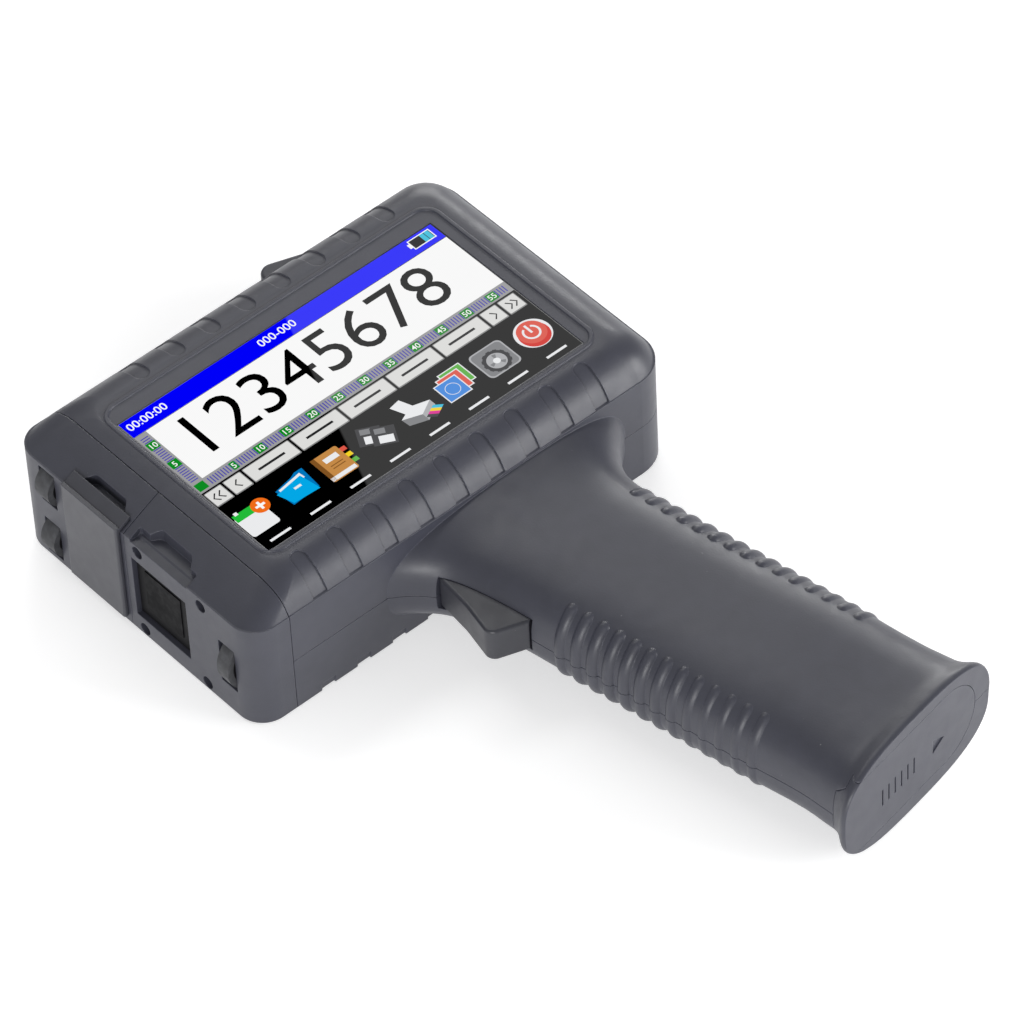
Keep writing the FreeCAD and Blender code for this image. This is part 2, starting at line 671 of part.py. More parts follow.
def make_main_board():
    """Main board with its screw holes, chips, buzzer and the four board screws."""
    low = "Sizes.board_top - Sizes.board_gauge"
    high = "Sizes.board_top"
    plate = joined("BoardPlate", [
        box("BoardMain", (-40.8, 49.5), (-33.4, 36.4), (low, high)),
        box("BoardSide", (49.4, 57.0), (-22, 31), (low, high)),
    ])
    holes = [rod("BoardHole%d" % index, 1.1, 4, (x, y, "Sizes.board_top - 3"))
             for index, (x, y) in enumerate(BOARD_SCREWS)]
    node(cut("Board", plate, joined("BoardHoles", holes)), "main_board")

    chips = [box("Processor", (22, 36), (-6, 8), (low + " - 1.4", low)),
             box("Memory", (24, 35), (13, 21), (low + " - 1.1", low)),
             box("Regulator", (20, 27), (-20, -14), (low + " - 1.8", low)),
             box("PenDriver", (16, 22), (26, 33), (low + " - 1.2", low))]
    node(group("Chips", chips), "board_chips")
    node(rod("Buzzer", 5.0, 3.4, (44, -24, "Sizes.board_top - Sizes.board_gauge - 3.4")), "buzzer")

    screws = []
    for index, (x, y) in enumerate(BOARD_SCREWS):
        head = rod("BoardScrewHead%d" % index, 1.9, 1.2,
                   (x, y, "Sizes.board_top - Sizes.board_gauge - 1.2"))
        shank = rod("BoardScrewShank%d" % index, 0.78, 4.2,
                    (x, y, "Sizes.board_top - Sizes.board_gauge - 0.1"))
        screws.append(joined("BoardScrew%d" % index, [head, shank]))
    node(group("BoardScrewSet", screws), "board_screws")


def make_sockets():
    """Power jack with its centre pin and the data socket, both under the board."""
    y, z, radius = JACK
    low = "Sizes.board_top - Sizes.board_gauge"
    body = box("JackBody", (50.2, 58.5), (y - 4.2, y + 4.2), (z - 3.9, low))
    nose = box("JackNose", (58.4, 61.0), (y - 4.2, y + 4.2), (z - 3.9, z + 3.4))
    bore = rod("JackBore", 2.85, 9, (52.2, y, z), Vector(1, 0, 0))
    pin = rod("JackPin", 0.65, 7, (52.0, y, z), Vector(1, 0, 0))
    shell = cut("JackShell", joined("JackForm", [body, nose]), bore)
    node(joined("Jack", [shell, pin]), "power_jack")

    y, z, half, high = USB
    shell = box("UsbShell", (52.5, 62.5), (y - 4.4, y + 4.4), (z - 1.5, low))
    mouth = box("UsbMouth", (54.0, 63.0), (y - 4.1, y + 4.1), (z - 1.2, z + 1.2))
    tongue = box("UsbTongue", (53.0, 61.5), (y - 3.0, y + 3.0), (z - 0.35, z + 0.35))
    node(joined("Usb", [cut("UsbCage", shell, mouth), tongue]), "usb_port")


def make_housing_screws():
    """Five screws that hold the shells together, in one node."""
    screws = []
    for index, (x, y) in enumerate(screw_places()):
        head = rod("ScrewHead%d" % index, 2.2, 1.8, (x, y, SCREW_SEAT - 1.8))
        recess = rod("ScrewRecess%d" % index, 1.0, 1.0, (x, y, SCREW_SEAT - 2.0))
        shank = rod("ScrewShank%d" % index, 0.98, 15.5, (x, y, SCREW_SEAT - 0.5))
        screw = joined("Screw%d" % index, [head, shank])
        screws.append(cut("RecessedScrew%d" % index, screw, recess))
    node(group("ScrewSet", screws), "housing_screws")


# ----------------------------------------------------------------------------------------
# Ink system
# ----------------------------------------------------------------------------------------
CARTRIDGE_X = (-49.4, 12.0)
CARTRIDGE_Y = (-18.0, 36.0)
SNOUT_X = -63.3
SNOUT_Y = (-15.9, 2.8)


def make_cartridge():
    """Ink cartridge with its snout behind the print window, nozzle plate and cradle."""
    low = "Sizes.cartridge_low"
    high = "Sizes.cartridge_high"
    tank = box("Tank", CARTRIDGE_X, CARTRIDGE_Y, (low, high))
    snout = box("Snout", (SNOUT_X, CARTRIDGE_X[0] + 1), SNOUT_Y, (6.3, 24.7))
    cartridge = joined("CartridgeForm", [tank, snout])
    doc.recompute()
    rounded = doc.addObject("Part::Fillet", "Cartridge")
    rounded.Base = cartridge
    upright = [index + 1 for index, edge in enumerate(cartridge.Shape.Edges)
               if edge.BoundBox.ZLength > 20 and edge.BoundBox.XLength < 0.01]
    rounded.Edges = [(index, 2.0, 2.0) for index in upright]
    node(rounded, "ink_cartridge")
    plate = box("NozzlePlate", (SNOUT_X - 0.25, SNOUT_X), (-12.8, -0.1), (9.5, 22.1))
    node(plate, "nozzle_plate")

    x = (-47.0, CARTRIDGE_X[1] + 1.8)
    y = (CARTRIDGE_Y[0] - 1.8, 39.0)
    outer = box("CradleOuter", x, y, ("Sizes.wall_gauge", 26.0))
    inner = box("CradleInner", (x[0] - 1, CARTRIDGE_X[1] + 0.3), (CARTRIDGE_Y[0] - 0.3, 40.0),
                ("Sizes.cartridge_low", 27.0))
    node(cut("Cradle", outer, inner), "cartridge_cradle")

    board = box("ContactBoard", (-51.4, -50.2), (5.5, 31.0), (6.0, 27.0))
    node(board, "contact_board")
    pins = []
    for column in range(5):
        for line in range(3):
            base = (-50.2, 10.0 + 4.0 * column, 10.0 + 6.0 * line)
            pins.append(rod("Pin%d%d" % (column, line), 0.5, 0.8, base, Vector(1, 0, 0)))
    node(group("ContactPins", pins), "contact_pins")

    drawn = [((-51.2, 27.0), (-51.2, 30.0)), ((-51.2, 30.0), (-50.76, 31.06), (-49.7, 31.5)),
             ((-49.7, 31.5), (-40.8, 31.5)), ((-40.8, 31.5), (-40.8, 31.2)),
             ((-40.8, 31.2), (-49.7, 31.2)), ((-49.7, 31.2), (-50.55, 30.85), (-50.9, 30.0)),
             ((-50.9, 30.0), (-50.9, 27.0)), ((-50.9, 27.0), (-51.2, 27.0))]
    cable = padded("Ribbon", "XZ_Plane", -26, 14, lambda sketch: closed_path(sketch, drawn))
    node(cable, "ribbon_cable")


# ----------------------------------------------------------------------------------------
# Rollers
# ----------------------------------------------------------------------------------------
TYRE_GAUGE = 1.6


def make_roller(name, x, z, y, radius, has_disc):
    """Rubber tyre, hub and fixed axle of one roller; the encoder roller also has a disc."""
    side = 0.4
    width = y[1] - y[0] - 2 * side - (0.9 if has_disc else 0.0)
    start = y[0] + side
    hub_radius = radius - TYRE_GAUGE
    place = FreeCAD.Placement(Vector(x, start, z), FreeCAD.Rotation(Vector(1, 0, 0), -90))
    tyre = padded(name + "Tyre", "XY_Plane", 0, width, ring_sketch(radius, hub_radius))
    tyre.Placement = place
    node(tyre, name + "_roller_tyre")
    bore = "Sizes.axle_radius + Sizes.running_gap"
    hub = padded(name + "Hub", "XY_Plane", 0, width, ring_sketch(hub_radius, bore))
    hub.Placement = place
    node(hub, name + "_roller_hub")
    axle = rod(name + "Axle", "Sizes.axle_radius", y[1] - y[0] + 4.0, (x, y[0] - 2.0, z), Vector(0, 1, 0))
    node(axle, name + "_roller_axle")
    if has_disc:
        disc_radius = radius - 1.2
        disc = padded(name + "Disc", "XY_Plane", 0, 0.4, ring_sketch(disc_radius, bore))
        disc.Placement = FreeCAD.Placement(Vector(x, start + width, z), place.Rotation)
        node(disc, "encoder_disc")


def make_rollers():
    """Three rollers and the optical sensor that reads the encoder disc."""
    for name, x, z, y, radius, half_window in ROLLERS:
        make_roller(name, x, z, y, radius, name == "encoder")
    sensor = box("Sensor", (-53.8, -50.6), (-27.3, -25.6), (11.5, 19.0))
    node(sensor, "encoder_sensor")


# ----------------------------------------------------------------------------------------
# Nozzle cover
# ----------------------------------------------------------------------------------------
COVER_Y = (6.5, 26.6)


def make_nozzle_cover():
    """L-shaped cover parked on the far half of the print end, with its rubber seal."""
    face = size["head_left"]
    plate = block((face - 1.3, face - 0.15), COVER_Y, (2.6, 32.3))
    corners = [edge for edge in plate.Edges
               if edge.BoundBox.XMax < face - 1.2 and edge.BoundBox.ZLength > 20]
    plate = plate.makeFillet(0.6, corners)
    lip = head_solid(-0.6).cut(head_solid(RECESS_DEPTH - 0.15))
    lip = lip.common(block((-66, -61.3), COVER_Y, (30.8, 45)))
    hook = block((-62.5, -61.3), (COVER_Y[0] + 1.0, COVER_Y[1] - 1.0), (31.1, 32.9))
    pad = (face - 0.75, face + 1), (7.0, 25.5), (6.5, 25.0)
    cover = plate.fuse([lip, hook]).cut(block(*pad))
    node(shaped("NozzleCover", cover), "nozzle_cover")
    seal = box("Seal", (face - 0.75, face - 0.15), (7.0, 25.5), (6.5, 25.0))
    node(seal, "cover_seal")


# ----------------------------------------------------------------------------------------
# Grip: trigger, switch, cells, lid
# ----------------------------------------------------------------------------------------
def upright_edges(form, corner):
    """The upright edges of a padded form at one corner of its outline."""
    return [edge for edge in form.Edges if edge.BoundBox.ZLength > 1
            and math.hypot(edge.CenterOfMass.x - corner[0], edge.CenterOfMass.y - corner[1]) < 0.01]


SPRING_TURNS = 3
SPRING_RADIUS = 2.25
SPRING_WIRE = 0.35
SPRING_PITCH = 0.64


def make_trigger():
    """Trigger, its pin, torsion spring and microswitch."""
    pivot = (size["trigger_pivot_across"], -size["trigger_pivot_down"])
    hub = 3.2
    front = [(-23.7, -44.4), (-26.6, -54.5), (-30.6, -64.4), (-22.1, -69.2), (-17.0, -68.2),
             (-15.2, -53.5), (-15.3, -47.5)]
    hub_side = (pivot[0] + hub * math.sin(math.pi / 4), pivot[1] + hub * math.cos(math.pi / 4))
    hub_top = (pivot[0], pivot[1] + hub)
    outline = list(zip(front, front[1:])) + [(front[-1], hub_side, hub_top), (hub_top, front[0])]
    blank = padded("TriggerBlank", "XY_Plane", "Sizes.trigger_low",
                   "Sizes.trigger_high - Sizes.trigger_low",
                   lambda sketch: closed_path(sketch, outline))
    doc.recompute()
    bore = Part.makeCylinder(size["trigger_pin"] + GAP, 40, Vector(pivot[0], pivot[1], 0))
    well = Part.makeCylinder(2.9, 10, Vector(pivot[0], pivot[1], size["trigger_high"] - 3.0))
    form = blank.Shape
    for corner, radius in zip(front[:3], (0.6, 15.0, 2.6)):
        form = form.makeFillet(radius, upright_edges(form, corner))
    rims = [edge for edge in form.Edges if edge.BoundBox.XMax < -22.0
            and edge.BoundBox.YMax < -44.0 and edge.BoundBox.ZLength < 0.1]
    form = form.makeFillet(0.8, rims)
    node(shaped("Trigger", form.cut([bore, well])), "trigger", in_grip=True)

    pin = rod("TriggerPin", "Sizes.trigger_pin", 16,
              ("Sizes.trigger_pivot_across", "-Sizes.trigger_pivot_down", 8.2))
    doc.recompute()
    node(shaped("TriggerPinPlaced", pin.Shape.copy()), "trigger_pin", in_grip=True)

    turns = []
    for turn in range(SPRING_TURNS):
        middle = Vector(pivot[0], pivot[1], size["trigger_high"] - 2.5 + SPRING_PITCH * turn)
        turns.append(Part.makeTorus(SPRING_RADIUS, SPRING_WIRE, middle))
    coil = turns[0].fuse(turns[1:])
    node(shaped("TriggerSpring", coil), "trigger_spring", in_grip=True)

    body = block((-12.2, -5.8), (-70.0, -57.0), (12.0, 20.0))
    plunger = block((-14.2, -12.1), (-61.6, -59.4), (14.6, 17.4))
    legs = [block((-5.9, -3.2), (-y - 0.4, -y + 0.4), (15.0, 17.0)) for y in (58.6, 63.5, 68.4)]
    node(shaped("Switch", body.fuse([plunger] + legs)), "trigger_switch", in_grip=True)
    seat = block((-12.2, -5.8), (-70.0, -57.0), (2.2, 12.0)).common(grip_solid(WALL + 0.1))
    node(shaped("SwitchSeat", seat), "switch_bracket", in_grip=True)


def make_power():
    """Two cells, their contacts at the head end and the bridge on the lid."""
    start = size["cell_start"]
    half = size["cell_radius"] + 0.15
    middle = size["grip_middle"]
    cells = []
    springs = []
    for side in (-1, 1):
        x = middle + side * half
        base = Vector(x, -start - size["cell_length"], PARTING)
        tube = Part.makeCylinder(size["cell_radius"], size["cell_length"], base, Vector(0, 1, 0))
        ends = [edge for edge in tube.Edges if isinstance(edge.Curve, Part.Circle)]
        cells.append(tube.makeFillet(0.8, ends))
        cone = Part.makeCone(3.4, 1.8, 2.0, Vector(x, -start + 2.2, PARTING), Vector(0, -1, 0))
        springs.append(cone)
    node(shaped("Cells", Part.makeCompound(cells)), "battery_cells", in_grip=True)
    plate = block((middle - 16, middle + 16), (-start + 2.2, -start + 2.8), (9.0, 23.0))
    node(shaped("Contacts", plate.fuse(springs)), "battery_contacts", in_grip=True)
    wall = block((middle - 19, middle + 19), (-start + 2.8, -start + 4.6), (5.0, 27.0))
    wall = wall.common(grip_solid(WALL + 0.1))
    node(shaped("BayWall", wall), "battery_bulkhead", in_grip=True)


def make_battery_lid():
    """Sliding butt lid with grip lines, arrow and the contact bridge on its inner face."""
    slack = 0.15
    grip = grip_solid(0)
    plate = lid_profile(LID_SEAT + slack, size["butt"] + 1, slack).common(grip)
    flange = block((-40, LID_SIDE - slack), (-size["butt"] - 1, -LID_FLANGE - slack), (5.75, 28.05))
    flange = flange.common(grip)
    lines = [block((x, x + 0.5), (-size["butt"] - 1, -size["butt"] + 0.4), (12.9, 18.2))
             for x in (-12.1 + 2.35 * index for index in range(6))]
    corners = [Vector(6.9, 0, 17.5), Vector(6.9, 0, 13.0), Vector(11.2, 0, 15.25)]
    triangle = Part.Face(Part.makePolygon(corners + corners[:1]))
    arrow = triangle.extrude(Vector(0, 0.4 + 1, 0))
    arrow.translate(Vector(0, -size["butt"] - 1, 0))
    lid = plate.fuse(flange).cut(lines + [arrow])
    node(shaped("BatteryLid", lid), "battery_lid", in_grip=True)

    middle = size["grip_middle"]
    half = size["cell_radius"] + 0.15
    strip_y = (-LID_SEAT - slack, -LID_SEAT - slack + 0.5)
    bridge = block((middle - 14, middle + 14), strip_y, (12.0, 20.0))
    cones = [Part.makeCone(3.2, 1.8, 1.6, Vector(middle + side * half, strip_y[1], PARTING),
                           Vector(0, 1, 0)) for side in (-1, 1)]
    node(shaped("LidBridge", bridge.fuse(cones)), "lid_contact", in_grip=True)


# ----------------------------------------------------------------------------------------
# Far wall: cartridge door and latch
# ----------------------------------------------------------------------------------------
def make_door():
    """Cartridge door with its hinge knuckle, and the hinge pin."""
    hinge = (size["door_left"], 44.85)
    far = size["head_far"]
    panel = box("DoorPanel", ("Sizes.door_left", "Sizes.door_right"), (far - 2.3, far),
                ("Sizes.door_low", "Sizes.door_high"))
    knuckle = rod("Knuckle", 1.15, "Sizes.door_high - Sizes.door_low",
                  ("Sizes.door_left", hinge[1], "Sizes.door_low"))
    bore = rod("KnuckleBore", 0.65, 40, ("Sizes.door_left", hinge[1], 0))
    node(cut("Door", joined("DoorForm", [panel, knuckle]), bore), "cartridge_door")
    node(rod("DoorPin", 0.6, 27, ("Sizes.door_left", hinge[1], 3.0)), "door_pin")


def make_latch():
    """Finger latch beside the door: a fin that stands out of the far wall, and its pin."""
    x = size["latch_x"]
    y = size["latch_y"]
    skin = size["head_far"] + 0.3
    hub = 2.6
    fin = [(37.4, skin), (14.6, skin), (16.4, 55.8), (43.5, skin)]
    outline = [(start, end) for start, end in zip(fin[1:], fin[:-1])]
    outline += [(fin[0], (x - hub, y)), ((x - hub, y), (x, y - hub), (x + hub, y)), ((x + hub, y), fin[-1])]
    blank = padded("LatchBlank", "XY_Plane", "Sizes.latch_low", "Sizes.latch_high - Sizes.latch_low",
                   lambda sketch: closed_path(sketch, outline))
    doc.recompute()
    form = blank.Shape
    form = form.makeFillet(3.2, upright_edges(form, fin[2]))
    rims = [edge for edge in form.Edges if edge.BoundBox.YMax > skin + 0.1 and edge.BoundBox.ZLength < 0.1]
    form = form.makeFillet(0.8, rims)
    bore = post(x, y, (0, 40), 1.2 + GAP)
    node(shaped("Latch", form.cut(bore)), "cartridge_latch")
    node(rod("LatchPin", 1.2, 17.5, ("Sizes.latch_x", "Sizes.latch_y", 9.5)), "latch_pin")


make_screen()
make_main_board()
make_sockets()
make_housing_screws()
make_cartridge()
make_rollers()
make_nozzle_cover()
make_trigger()
make_power()
make_battery_lid()
make_door()
make_latch()


# ----------------------------------------------------------------------------------------
# Check and write
# ----------------------------------------------------------------------------------------
doc.recompute()
for item in doc.Objects:
    if "Invalid" in item.State or "Error" in item.State:
        raise RuntimeError("%s did not recompute: %s" % (item.Name, item.State))

os.makedirs("parts", exist_ok=True)
for piece in nodes:
    shape = piece.Shape
    if shape.isNull() or not shape.isValid():
        raise RuntimeError("%s has no valid shape" % piece.Label)
    shape.exportStep("parts/%s.step" % piece.Label)
    print("%-22s solids %2d  volume %10.1f" % (piece.Label, len(shape.Solids), shape.Volume))
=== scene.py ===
"""Looks of the hand-held date-code printer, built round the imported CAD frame.

Everything is in metres in the printer's own frame: +Z out of the screen, the print end at
-X, the grip towards -Y.  MM turns millimetres into metres.
"""
import json
import math

import bmesh
import bpy
from mathutils import Matrix, Vector


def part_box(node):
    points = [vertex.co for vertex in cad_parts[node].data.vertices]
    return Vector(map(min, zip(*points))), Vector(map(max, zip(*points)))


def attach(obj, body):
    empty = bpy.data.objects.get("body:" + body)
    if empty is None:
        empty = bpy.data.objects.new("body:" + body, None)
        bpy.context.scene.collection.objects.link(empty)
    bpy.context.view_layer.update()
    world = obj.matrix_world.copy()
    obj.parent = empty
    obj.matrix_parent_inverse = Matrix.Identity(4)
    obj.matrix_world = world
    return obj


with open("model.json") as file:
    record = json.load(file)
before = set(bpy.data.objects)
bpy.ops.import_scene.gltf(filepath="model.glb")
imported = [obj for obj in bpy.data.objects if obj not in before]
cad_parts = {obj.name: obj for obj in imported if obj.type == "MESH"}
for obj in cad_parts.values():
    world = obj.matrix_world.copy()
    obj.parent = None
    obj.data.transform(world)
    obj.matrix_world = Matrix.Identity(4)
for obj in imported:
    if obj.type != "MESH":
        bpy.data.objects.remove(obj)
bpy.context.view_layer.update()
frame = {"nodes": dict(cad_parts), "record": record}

MM = 0.001
scene = bpy.context.scene
scene.view_settings.view_transform = "Standard"
NODES = frame["nodes"]


# ----------------------------------------------------------------------------------------
# Camera, floor and light
# ----------------------------------------------------------------------------------------
# Angles in degrees, distance in metres, lens in millimetres.
CAMERA_AIM = Vector((12.9, -40.3, 16.9)) * MM
CAMERA_DISTANCE = 1.6157
CAMERA_AZIMUTH = -39.04
CAMERA_ELEVATION = 47.11
CAMERA_ROLL = -3.20
CAMERA_LENS = 246.1


def make_camera():
    """Long lens from the front left, above the print end, rolled slightly."""
    azimuth = math.radians(CAMERA_AZIMUTH)
    elevation = math.radians(CAMERA_ELEVATION)
    back = Vector((math.sin(azimuth) * math.cos(elevation),
                   -math.cos(azimuth) * math.cos(elevation), math.sin(elevation)))
    right = Vector((math.cos(azimuth), math.sin(azimuth), 0.0))
    up = back.cross(right)
    turned = Matrix((right, up, back)).transposed().to_4x4()
    data = bpy.data.cameras.new("camera")
    data.lens = CAMERA_LENS
    data.clip_end = 20.0
    camera = bpy.data.objects.new("camera", data)
    camera.matrix_world = (Matrix.Translation(CAMERA_AIM + back * CAMERA_DISTANCE) @ turned
                           @ Matrix.Rotation(math.radians(CAMERA_ROLL), 4, "Z"))
    scene.collection.objects.link(camera)
    scene.camera = camera


def area_light(name, place, aim, width, height, power):
    """Soft rectangular light at place, facing aim."""
    data = bpy.data.lights.new(name, "AREA")
    data.shape = "RECTANGLE"
    data.size = width
    data.size_y = height
    data.energy = power
    lamp = bpy.data.objects.new(name, data)
    lamp.location = place
    lamp.rotation_euler = (Vector(aim) - Vector(place)).to_track_quat("-Z", "Y").to_euler()
    scene.collection.objects.link(lamp)


SURROUND_STRENGTH = 0.36
FLOOR_SIZE = 12.0
FLOOR_DROP = 0.2 * MM
FLOOR_GLOW = 0.45
HEAD_MIDDLE = (0.0, -0.04, 0.0)
GRIP_MIDDLE = (0.0, -0.1, 0.0)

# Name, place and aim in metres, width and height in metres, power in watts.
LIGHTS = (
    ("left", (-1.25, -0.95, 0.55), HEAD_MIDDLE, 0.8, 0.6, 14.0),
    ("front", (1.15, -1.35, 0.5), GRIP_MIDDLE, 1.0, 0.7, 26.0),
    ("top", (0.15, 0.85, 1.3), HEAD_MIDDLE, 1.3, 0.4, 5.0),
    ("rim", (1.2, 1.1, 0.55), HEAD_MIDDLE, 0.8, 0.4, 9.0),
)


def make_studio():
    """Pale floor, even white surroundings and four soft lights."""
    world = bpy.data.worlds.new("studio")
    world.use_nodes = True
    surround = world.node_tree.nodes["Background"]
    surround.inputs["Color"].default_value = (1.0, 1.0, 1.0, 1.0)
    surround.inputs["Strength"].default_value = SURROUND_STRENGTH
    scene.world = world
    bpy.ops.mesh.primitive_plane_add(size=FLOOR_SIZE, location=(0.0, 0.0, -FLOOR_DROP))
    floor = bpy.context.object
    floor.name = "floor"
    floor.data.materials.append(plain_floor())
    for light in LIGHTS:
        area_light(*light)


# ----------------------------------------------------------------------------------------
# Materials
# ----------------------------------------------------------------------------------------
def shader(name):
    """New node material: (material, node tree, its principled shader)."""
    material = bpy.data.materials.new(name)
    material.use_nodes = True
    tree = material.node_tree
    return material, tree, tree.nodes["Principled BSDF"]


def place_node(tree):
    """Coordinates in the printer's frame, in metres."""
    return tree.nodes.new("ShaderNodeTexCoord").outputs["Object"]


def noise(tree, scale, detail=3.0, distortion=0.0):
    """Noise value over the printer's frame; scale is in cycles per metre."""
    texture = tree.nodes.new("ShaderNodeTexNoise")
    texture.inputs["Scale"].default_value = scale
    texture.inputs["Detail"].default_value = detail
    texture.inputs["Distortion"].default_value = distortion
    tree.links.new(place_node(tree), texture.inputs["Vector"])
    return texture.outputs["Fac"]


def spread(tree, value, low, high, start=0.3, end=0.7):
    """Map a 0..1 value onto low..high."""
    ramp = tree.nodes.new("ShaderNodeMapRange")
    ramp.inputs["From Min"].default_value = start
    ramp.inputs["From Max"].default_value = end
    ramp.inputs["To Min"].default_value = low
    ramp.inputs["To Max"].default_value = high
    tree.links.new(value, ramp.inputs["Value"])
    return ramp.outputs["Result"]


def shades(tree, value, dark, light):
    """Colour between dark and light by a 0..1 value."""
    mix = tree.nodes.new("ShaderNodeMix")
    mix.data_type = "RGBA"
    mix.inputs["A"].default_value = (*dark, 1.0)
    mix.inputs["B"].default_value = (*light, 1.0)
    tree.links.new(value, mix.inputs["Factor"])
    return mix.outputs["Result"]


def bump(tree, height, strength, distance, normal=None):
    """Bump from a height value, over another normal if one is given."""
    relief = tree.nodes.new("ShaderNodeBump")
    relief.inputs["Strength"].default_value = strength
    relief.inputs["Distance"].default_value = distance
    tree.links.new(height, relief.inputs["Height"])
    if normal is not None:
        tree.links.new(normal, relief.inputs["Normal"])
    return relief.outputs["Normal"]


def edge_highlight_and_wear(tree, rounded):
    """0..1 value rising at edges, where the softened normal leaves the flat one; it marks rub wear and a
    painted highlight.
    """
    flat = tree.nodes.new("ShaderNodeNewGeometry").outputs["True Normal"]
    dot = tree.nodes.new("ShaderNodeVectorMath")
    dot.operation = "DOT_PRODUCT"
    tree.links.new(flat, dot.inputs[0])
    tree.links.new(rounded, dot.inputs[1])
    return spread(tree, dot.outputs["Value"], 1.0, 0.0, 0.86, 0.995)


def moulded(name, color, rough, grain=2200.0, depth=0.9, soften=0.35 * MM, shine=0.5):
    """Moulded plastic: eroded grain, flow marks, dust specks, softened edges lightened by rub wear and a
    painted highlight.
    """
    material, tree, bsdf = shader(name)
    flow = spread(tree, noise(tree, 150.0, 5.0, 0.6), 0.0, 1.0)
    dark = [channel * 0.94 for channel in color]
    light = [channel * 1.06 for channel in color]
    body = shades(tree, flow, dark, light)
    edge = tree.nodes.new("ShaderNodeBevel")
    edge.samples = 4
    edge.inputs["Radius"].default_value = soften
    # Edges lightened to 1.7 times the colour: partly rub wear, partly a painted highlight.
    highlit_and_rubbed = tree.nodes.new("ShaderNodeMix")
    highlit_and_rubbed.data_type = "RGBA"
    highlit_and_rubbed.inputs["B"].default_value = (*[channel * 1.7 for channel in color], 1.0)
    tree.links.new(edge_highlight_and_wear(tree, edge.outputs["Normal"]), highlit_and_rubbed.inputs["Factor"])
    tree.links.new(body, highlit_and_rubbed.inputs["A"])
    dust = tree.nodes.new("ShaderNodeMix")
    dust.data_type = "RGBA"
    dust.inputs["B"].default_value = (0.3, 0.3, 0.31, 1.0)
    specks = spread(tree, noise(tree, 950.0, 1.0), 0.0, 0.5, 0.81, 0.87)
    tree.links.new(specks, dust.inputs["Factor"])
    tree.links.new(highlit_and_rubbed.outputs["Result"], dust.inputs["A"])
    tree.links.new(dust.outputs["Result"], bsdf.inputs["Base Color"])
    handled = spread(tree, noise(tree, 260.0, 5.0), rough - 0.03, rough + 0.04)
    tree.links.new(handled, bsdf.inputs["Roughness"])
    bsdf.inputs["Specular IOR Level"].default_value = shine
    grained = bump(tree, noise(tree, grain, 2.0), depth, 0.02 * MM, edge.outputs["Normal"])
    tree.links.new(grained, bsdf.inputs["Normal"])
    return material


def plain_floor():
    """Pale matt floor with a faint mottle, lifted like a light table."""
    material, tree, bsdf = shader("floor_paint")
    mottle = spread(tree, noise(tree, 3.0), 0.0, 1.0)
    tone = shades(tree, mottle, (0.84, 0.84, 0.845), (0.87, 0.87, 0.87))
    tree.links.new(tone, bsdf.inputs["Base Color"])
    bsdf.inputs["Roughness"].default_value = 0.9
    bsdf.inputs["Emission Color"].default_value = (1.0, 1.0, 1.0, 1.0)
    bsdf.inputs["Emission Strength"].default_value = FLOOR_GLOW
    return material


def rubber(name, color):
    """Dark rubber with a dusty, coarse grain."""
    material, tree, bsdf = shader(name)
    dust = spread(tree, noise(tree, 420.0, 6.0), 0.0, 1.0, 0.42, 0.75)
    pale = [channel * 1.9 for channel in color]
    tree.links.new(shades(tree, dust, color, pale), bsdf.inputs["Base Color"])
    tree.links.new(spread(tree, noise(tree, 300.0), 0.55, 0.8), bsdf.inputs["Roughness"])
    tree.links.new(bump(tree, noise(tree, 1300.0, 4.0), 0.6, 0.05 * MM), bsdf.inputs["Normal"])
    return material


DRAWN_STRETCH = (1.0, 1.0, 30.0)


def metal(name, color, rough):
    """Plated metal with fine drawn lines and patches of dullness."""
    material, tree, bsdf = shader(name)
    mapping = tree.nodes.new("ShaderNodeMapping")
    mapping.inputs["Scale"].default_value = DRAWN_STRETCH
    tree.links.new(place_node(tree), mapping.inputs["Vector"])
    lines = tree.nodes.new("ShaderNodeTexNoise")
    lines.inputs["Scale"].default_value = 900.0
    tree.links.new(mapping.outputs["Vector"], lines.inputs["Vector"])
    dull = [channel * 0.8 for channel in color]
    tree.links.new(shades(tree, lines.outputs["Fac"], dull, color), bsdf.inputs["Base Color"])
    dullness = spread(tree, noise(tree, 200.0), rough - 0.06, rough + 0.08)
    tree.links.new(dullness, bsdf.inputs["Roughness"])
    tree.links.new(bump(tree, lines.outputs["Fac"], 0.3, 0.01 * MM), bsdf.inputs["Normal"])
    bsdf.inputs["Metallic"].default_value = 1.0
    return material


def glossy(name, color, rough=0.25, shine=0.5):
    """Smooth coated surface with faint specks."""
    material, tree, bsdf = shader(name)
    specks = spread(tree, noise(tree, 700.0, 3.0), 0.0, 1.0, 0.45, 0.8)
    light = [min(channel * 1.25 + 0.01, 1.0) for channel in color]
    tree.links.new(shades(tree, specks, color, light), bsdf.inputs["Base Color"])
    dullness = spread(tree, noise(tree, 160.0), rough - 0.06, rough + 0.08)
    tree.links.new(dullness, bsdf.inputs["Roughness"])
    tree.links.new(bump(tree, noise(tree, 900.0), 0.15, 0.01 * MM), bsdf.inputs["Normal"])
    bsdf.inputs["Specular IOR Level"].default_value = shine
    return material


DISPLAY_GLOW = 0.97
# Slant, start, softness and strength of the painted reflection laid over the display picture.
SHEEN_SLOPE = 0.39
SHEEN_START = -8.0 * MM
SHEEN_SOFTNESS = 0.6 * MM
SHEEN_STRENGTH = 0.045


